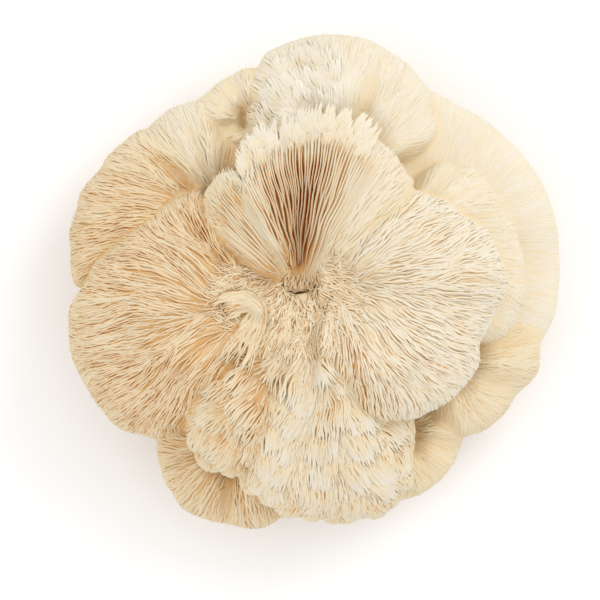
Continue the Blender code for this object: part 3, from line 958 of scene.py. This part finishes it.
def flesh_material():
    """Flesh and teeth: pale ridges, with shade painted tan into slits that run along the flow, on
    the flanks of the teeth, and a warm tint painted as shade where the sky is hidden.
    """
    material, tree, shader = new_material("flesh")
    nodes, links = tree.nodes, tree.links
    look = nodes.new("ShaderNodeAttribute")
    look.attribute_name = "look"
    split = nodes.new("ShaderNodeSeparateColor")
    links.new(look.outputs["Color"], split.inputs[0])
    pale, shade, flank = split.outputs[0], split.outputs[1], split.outputs[2]
    tone = look.outputs["Alpha"]
    flow = nodes.new("ShaderNodeAttribute")
    flow.attribute_name = "flow"
    # Where along the flow the painted slit shade shows
    shade_slits = stretched_noise(tree, flow, (0.7, 0.06, 13.7), 1.5)
    shade_slits = math_node(tree, "MULTIPLY_ADD", shade_slits, 4.0, -1.3, clamp=True)
    shade_slits = math_node(tree, "MULTIPLY_ADD", shade_slits, 0.7, 0.3)
    streaks = stretched_noise(tree, flow, (0.6, 0.05, 7.3), 3.0)
    streaks = math_node(tree, "SUBTRACT", streaks, 0.5)
    value = math_node(tree, "MULTIPLY_ADD", streaks, 0.2, pale)
    value = math_node(tree, "SUBTRACT", value, 0.02)
    # Painted shade: the flanks of the teeth are darkened where the slits show, the more where the
    # slit shade is deeper, and in the deepest places all along
    line = math_node(tree, "POWER", flank, 1.6)
    line = math_node(tree, "MULTIPLY", line, shade_slits)
    slit_shade_depth = math_node(tree, "MULTIPLY_ADD", tone, -0.6, -0.1)
    value = math_node(tree, "MULTIPLY_ADD", line, slit_shade_depth, value)
    deep_slit_shade = math_node(tree, "MULTIPLY_ADD", tone, 2.5, -2.9, clamp=True)
    deep_slit_shade = math_node(tree, "MULTIPLY", deep_slit_shade, flank)
    value = math_node(tree, "MULTIPLY_ADD", deep_slit_shade, -0.7, value)
    value = math_node(tree, "MULTIPLY", value, RAMP_SCALE, clamp=True)
    stops = ((0.0, DEEP), (0.35, TAN), (0.7, CREAM), (1.0, PALE), (1.0 / RAMP_SCALE, LIGHT))
    ramp = ramp_node(nodes, [(place * RAMP_SCALE, colour) for place, colour in stops])
    links.new(value, ramp.inputs[0])
    # Painted shade: a warm tint where the sky is hidden and on the flanks
    shade_tinted = nodes.new("ShaderNodeMix")
    shade_tinted.data_type = "RGBA"
    shade_tinted.blend_type = "MULTIPLY"
    shade_tinted.clamp_result = True
    shade_tint_share = math_node(tree, "POWER", flank, 1.6)
    shade_tint_share = math_node(tree, "MULTIPLY", shade_tint_share, FLANK_SHADE_SHARE)
    shade_tint_share = math_node(tree, "MULTIPLY_ADD", shade, SHADE_SHARE, shade_tint_share, clamp=True)
    links.new(shade_tint_share, shade_tinted.inputs[0])
    links.new(ramp.outputs[0], shade_tinted.inputs[6])
    shade_tinted.inputs[7].default_value = SHADE_TINT
    links.new(shade_tinted.outputs[2], shader.inputs["Base Color"])
    return material


def stretched_noise(tree, flow, scale, detail):
    """Noise over the flow coordinates, drawn out along the flow."""
    place = tree.nodes.new("ShaderNodeVectorMath")
    place.operation = "MULTIPLY"
    place.inputs[1].default_value = scale
    tree.links.new(flow.outputs["Vector"], place.inputs[0])
    noise = tree.nodes.new("ShaderNodeTexNoise")
    noise.inputs["Scale"].default_value = 1.0
    noise.inputs["Detail"].default_value = detail
    tree.links.new(place.outputs[0], noise.inputs["Vector"])
    return noise.outputs["Fac"]


def paint_body(body, surfaces):
    """Writes to the flesh what its material reads, from the nearest fan's skin."""
    places, sources = [], []
    for number, surface in enumerate(surfaces):
        stride = 3
        grid = surface.xyz[:, ::stride]
        turn, along = np.meshgrid(surface.degrees, surface.along[::stride], indexing="ij")
        ahead = np.gradient(surface.xyz, axis=1)[:, ::stride] / GRID_PITCH
        source = np.concatenate([grid, ahead, turn[..., None], along[..., None],
                                 np.full_like(turn, number)[..., None]], 2)
        shown = along < surface.end[:, None] - 1.0
        places.append(grid[shown])
        sources.append(source[shown])
    places, sources = np.concatenate(places), np.concatenate(sources)
    tree = KDTree(len(places))
    for i, place in enumerate(places):
        tree.insert(place, i)
    tree.balance()
    data = body.data
    spots = np.array([vertex.co for vertex in data.vertices]) / MM
    near = sources[[tree.find(spot)[1] for spot in spots]]
    along = near[:, 7] + ((spots - near[:, :3]) * near[:, 3:6]).sum(1)
    flow, look = np.empty((len(spots), 3)), np.empty((len(spots), 4))
    for number, surface in enumerate(surfaces):
        mine = near[:, 8] == number
        name, hub = surface.fan.name, surface.fan.hub
        degrees = np.degrees(np.arctan2(spots[mine, 1] - hub[1], spots[mine, 0] - hub[0]))
        turn = np.radians(degrees % 360.0) * FLOW_RADIUS
        drift = drifted(TEETH[name], float(number), turn, along[mine])
        out = np.maximum(surface.read(surface.out, degrees, along[mine]), 3.0)
        flow[mine, 0] = turn - drift * FLOW_RADIUS / out
        flow[mine, 1] = along[mine]
        flow[mine, 2] = number
        pale, tone, shade = look_at(surface, degrees, along[mine])
        # The flesh between the teeth is a little darker and counts as flank, so shade is painted
        # on it where it shows in the gaps
        look[mine, 0], look[mine, 1], look[mine, 3] = pale - 0.02, shade, tone
    look[:, 2] = 0.55
    stem = (np.hypot(spots[:, 0], spots[:, 1]) < STEM_RADIUS) & (spots[:, 2] < STEM_HEIGHT)
    look[stem] = STEM_LOOK
    flow[stem, 0] = np.arctan2(spots[stem, 1], spots[stem, 0]) * FLOW_RADIUS
    flow[stem, 1] = spots[stem, 2]
    paint(data, flow, look)


def floor():
    material, tree, shader = new_material("floor")
    shader.inputs["Base Color"].default_value = (0.93, 0.93, 0.93, 1.0)
    mesh = bmesh.new()
    bmesh.ops.create_grid(mesh, x_segments=1, y_segments=1, size=3.0)
    data = bpy.data.meshes.new("floor")
    mesh.to_mesh(data)
    mesh.free()
    data.materials.append(material)
    made = linked("floor", data)


def area_light(name, place, target, size, energy):
    data = bpy.data.lights.new(name, "AREA")
    data.shape = "DISK"
    data.size = size
    data.energy = energy
    made = linked(name, data)
    made.location = place
    made.rotation_euler = (Vector(target) - Vector(place)).to_track_quat("-Z", "Y").to_euler()


def studio():
    floor()
    area_light("key", (0.55, 0.5, 0.8), (0.0, 0.0, 0.03), 0.6, 3.05)
    area_light("fill", (-0.7, -0.3, 0.9), (0.0, 0.0, 0.03), 0.9, 1.7)
    world = bpy.data.worlds.new("studio")
    world.use_nodes = True
    background = world.node_tree.nodes["Background"]
    background.inputs["Color"].default_value = (1.0, 1.0, 1.0, 1.0)
    background.inputs["Strength"].default_value = 1.02
    bpy.context.scene.world = world
    bpy.context.scene.view_settings.view_transform = "Standard"


# The photo's frame: its scale, and its middle on the object
PIXEL = 0.3074
FRAME_PIXELS = 600
FRAME_MIDDLE = (-4.3, -4.9)
REFERENCE_HEIGHT = 35.0
CAMERA_HEIGHT = 1200.0


def camera():
    data = bpy.data.cameras.new("camera")
    width = PIXEL * FRAME_PIXELS
    data.sensor_width = 36.0
    data.lens = data.sensor_width * (CAMERA_HEIGHT - REFERENCE_HEIGHT) / width
    data.clip_end = 10.0
    made = linked("camera", data)
    made.location = (FRAME_MIDDLE[0] * MM, FRAME_MIDDLE[1] * MM, CAMERA_HEIGHT * MM)
    bpy.context.scene.camera = made


PIECES = {
    "teeth_top": ("top_back", "top_left_small"),
    "teeth_left_back": ("left_back",),
    "teeth_right_back": ("right_back", "right_low_back"),
    "teeth_low": ("bottom_right", "bottom_left"),
    "teeth_left": ("left_fan", "left_cheek"),
    "teeth_front": ("front_tufts",),
    "teeth_middle": ("cup", "cup_side", "middle"),
    "teeth_right": ("right_middle", "right_front"),
}


def dress():
    rng = np.random.default_rng(SEED)
    surfaces = [Surface(fan) for fan in FANS]
    material = flesh_material()
    body = flesh_body(surfaces, material)
    tree = BVHTree.FromPolygons([v.co for v in body.data.vertices],
                                [p.vertices for p in body.data.polygons])
    for surface in surfaces:
        surface.find_shade(tree)
    paint_body(body, surfaces)
    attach(body, "root")
    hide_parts("fruiting_body")
    grown = {}
    for number, surface in enumerate(surfaces):
        name = surface.fan.name
        if name == "middle":
            grown[name] = [grow_patch(tree, rng), grow_curl(tree, rng)]
            continue
        grown[name] = [grow(surface, TEETH[name], float(number), tree, rng)]
        if name in TUFTS:
            grown[name].append(grow(surface, TUFTS[name], float(number), tree, rng))
        if name in GILLS:
            grown[name].append(grow_gills(surface, TEETH[name], float(number), tree, rng))
    for name, fans in PIECES.items():
        piece = strand_mesh(name, [part for fan in fans for part in grown[fan]], material)
        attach(piece, "root")
        print(name, "triangles", 2 * len(piece.data.polygons))
    print("flesh_body triangles", 2 * len(body.data.polygons))


dress()
studio()
camera()
